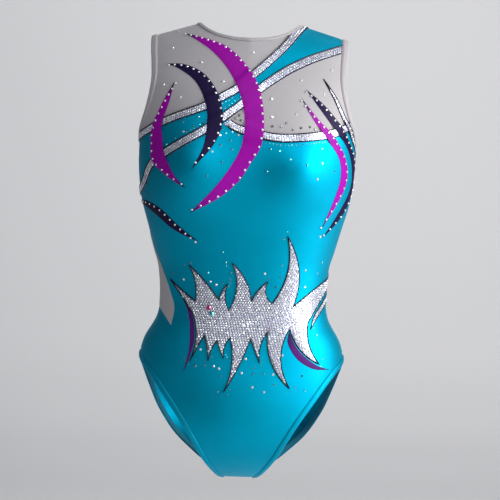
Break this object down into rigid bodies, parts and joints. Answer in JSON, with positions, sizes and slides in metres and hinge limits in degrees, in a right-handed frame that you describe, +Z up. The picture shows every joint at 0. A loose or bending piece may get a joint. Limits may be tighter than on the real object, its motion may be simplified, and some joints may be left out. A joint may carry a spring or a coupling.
{
  "type": "gymnastics leotard",
  "caption": "Sleeveless gymnastics leotard with a mesh yoke, silver trims, curved appliques, a spiked waist crest and a keyhole back that hooks at the nape.",
  "frame": {"origin": "middle of the neck opening, level with the front of the shoulders' inner ends, where the garment hangs from its wearer", "axes": "+Z up towards the neck; the front faces -Y and the back +Y; +X is to the right for someone who faces the front, which is the wearer's left"},
  "size_m": [0.311, 0.2326, 0.6444],
  "materials": {
    "teal_lycra": "glossy stretch knit",
    "nude_mesh": "matte stretch mesh",
    "nude_binding": "matte folded tape",
    "purple_lycra": "glossy stretch knit",
    "indigo_lycra": "glossy stretch knit",
    "silver_foil": "metallic foil set with small stones",
    "lining_knit": "matte knit",
    "dyed_elastic": "matte woven elastic",
    "steel": "bright wire"
  },
  "bodies": {
    "root": {"armhole_binding_left": "nude_binding", "armhole_binding_right": "nude_binding", "back_body_panel": "teal_lycra", "back_mesh_yoke": "nude_mesh", "bust_silver_trim": "silver_foil", "mesh_side_left": "nude_mesh", "crest_side_right": "silver_foil", "crotch_lining": "lining_knit", "front_band_panel": "teal_lycra", "front_body_panel": "teal_lycra", "front_mesh_inset": "nude_mesh", "front_mesh_yoke": "nude_mesh", "indigo_crescent": "indigo_lycra", "indigo_crescent_right": "indigo_lycra", "indigo_side_spike": "indigo_lycra", "keyhole_binding": "nude_binding", "leg_elastic_left": "dyed_elastic", "leg_elastic_right": "dyed_elastic", "leg_hem_left": "teal_lycra", "leg_hem_right": "teal_lycra", "lower_silver_trim": "silver_foil", "nape_eye": "steel", "nape_hook": "steel", "neck_binding": "nude_binding", "purple_accent_left": "indigo_lycra", "purple_accent_right": "indigo_lycra", "purple_crescent_large": "purple_lycra", "purple_crescent_right": "purple_lycra", "purple_crescent_small": "purple_lycra", "silver_spike_right": "silver_foil", "upper_silver_trim": "silver_foil", "waist_crest": "silver_foil"}
  },
  "joints": []
}
